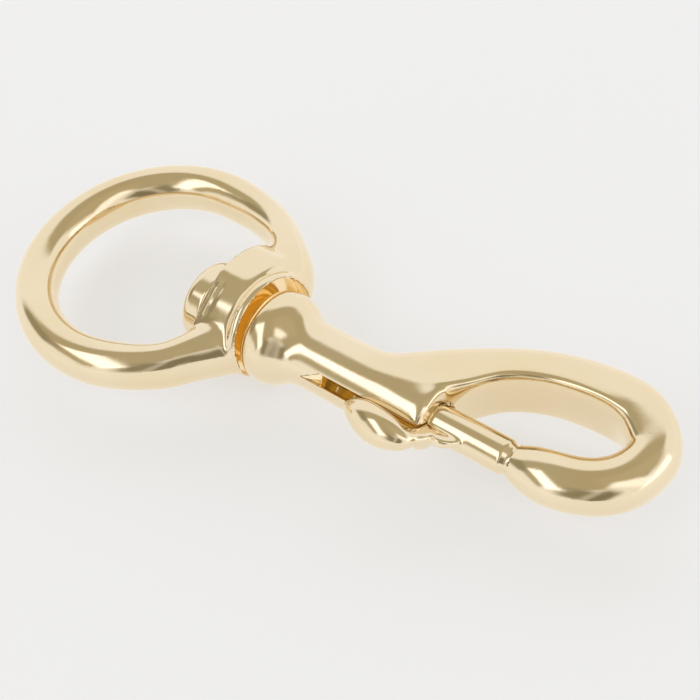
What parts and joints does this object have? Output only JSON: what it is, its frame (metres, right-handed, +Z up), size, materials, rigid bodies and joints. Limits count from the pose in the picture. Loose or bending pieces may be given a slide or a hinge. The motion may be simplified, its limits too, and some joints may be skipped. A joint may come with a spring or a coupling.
{
  "type": "swivel bolt snap",
  "caption": "Swivel round-eye bolt snap: a cast eye turns on the end of a slotted barrel with a hook, closed by a sprung sliding bolt with a thumb knob.",
  "frame": {"origin": "centre of the round eye's opening, on the swivel axis", "axes": "+X along the barrel from the eye to the hook, +Y toward the side that the hook bends to, +Z up, across the flat of the hook"},
  "size_m": [0.0876, 0.0364, 0.014],
  "materials": {
    "body": "polished pale gold plate",
    "eye": "polished pale gold plate",
    "bolt": "polished pale gold plate",
    "spring": "drawn wire"
  },
  "bodies": {
    "body": {"hook_body": "body", "spring": "spring"},
    "eye": {"swivel_eye": "eye"},
    "bolt": {"bolt": "bolt"}
  },
  "joints": [
    {"name": "swivel", "type": "hinge", "parent": "body", "child": "eye", "pos_m": [0.0165, 0, 0], "axis": [1, 0, 0], "continuous": true},
    {"name": "bolt_slide", "type": "slide", "parent": "body", "child": "bolt", "axis": [1, 0, 0], "range_m": [-0.0082, 0], "stiffness_N_per_m": 1500, "springref_m": 0.002, "deforming": ["spring"]}
  ]
}
